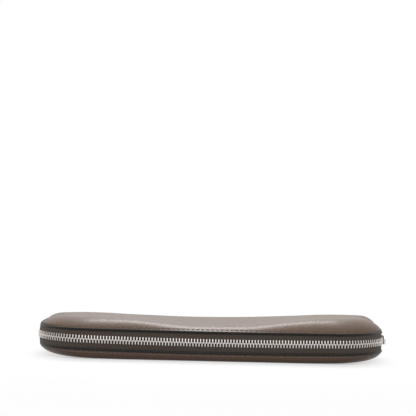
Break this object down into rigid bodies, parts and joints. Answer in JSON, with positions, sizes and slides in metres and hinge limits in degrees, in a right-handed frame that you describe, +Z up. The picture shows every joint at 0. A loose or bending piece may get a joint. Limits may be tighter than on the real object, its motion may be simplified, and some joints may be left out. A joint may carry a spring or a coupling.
{
  "type": "pen case",
  "caption": "Slim zip-around leather pen case: domed lid and dished base hinged by a leather spine, metal zip round three sides, pen loops inside.",
  "frame": {"origin": "middle of the flat foot under the case, on the surface that it rests on", "axes": "+X along the case to the slider's end, +Y towards the spine, +Z up through the lid"},
  "size_m": [0.2144, 0.068, 0.0256],
  "materials": {
    "cover_leather": "fine-grained dark taupe leather, semi-matt",
    "spine_leather": "fine-grained dark taupe leather, semi-matt",
    "loop_leather": "thin dark brown leather, matt",
    "lining_cloth": "brown twill lining",
    "padding_foam": "thin foam sheet",
    "stiff_board": "grey-brown stiffener board",
    "tape_cloth": "woven dark olive-brown zip tape",
    "zip_nickel": "polished nickel"
  },
  "bodies": {
    "base": {"lower_cover": "cover_leather", "lower_padding": "padding_foam", "lower_board": "stiff_board", "lower_lining": "lining_cloth", "lower_zip_tape": "tape_cloth", "lower_zip_teeth": "zip_nickel", "lower_closing_teeth": "zip_nickel", "lower_zip_stops": "zip_nickel", "loop_strip": "loop_leather", "pen_loop_1": "loop_leather", "pen_loop_2": "loop_leather", "pen_loop_3": "loop_leather"},
    "spine": {"spine_gusset": "spine_leather", "spine_lining": "lining_cloth"},
    "lid": {"upper_cover": "cover_leather", "upper_padding": "padding_foam", "upper_board": "stiff_board", "upper_lining": "lining_cloth", "upper_zip_tape": "tape_cloth", "upper_zip_teeth": "zip_nickel", "upper_closing_teeth": "zip_nickel", "upper_zip_stops": "zip_nickel"},
    "slider": {"slider_body": "zip_nickel"},
    "pull": {"pull_tab": "zip_nickel"}
  },
  "joints": [
    {"name": "lower_fold", "type": "hinge", "parent": "base", "child": "spine", "pos_m": [0, 0.03275, 0.00658], "axis": [-1, 0, 0], "range_deg": [0, 84]},
    {"name": "upper_fold", "type": "hinge", "parent": "spine", "child": "lid", "pos_m": [0, 0.03275, 0.0168], "axis": [-1, 0, 0], "range_deg": [0, 84]},
    {"name": "zip_slide", "type": "slide", "parent": "base", "child": "slider", "axis": [0, -1, 0], "range_m": [0, 0.0125], "deforming": ["lower_closing_teeth", "upper_closing_teeth"]},
    {"name": "pull_swing", "type": "hinge", "parent": "slider", "child": "pull", "pos_m": [0.10705, 0.0155, 0.01256], "axis": [0, 0, 1], "range_deg": [0, 180]}
  ],
  "couplings": [
    {"joint": "upper_fold", "follows": "lower_fold", "ratio": 1}
  ]
}
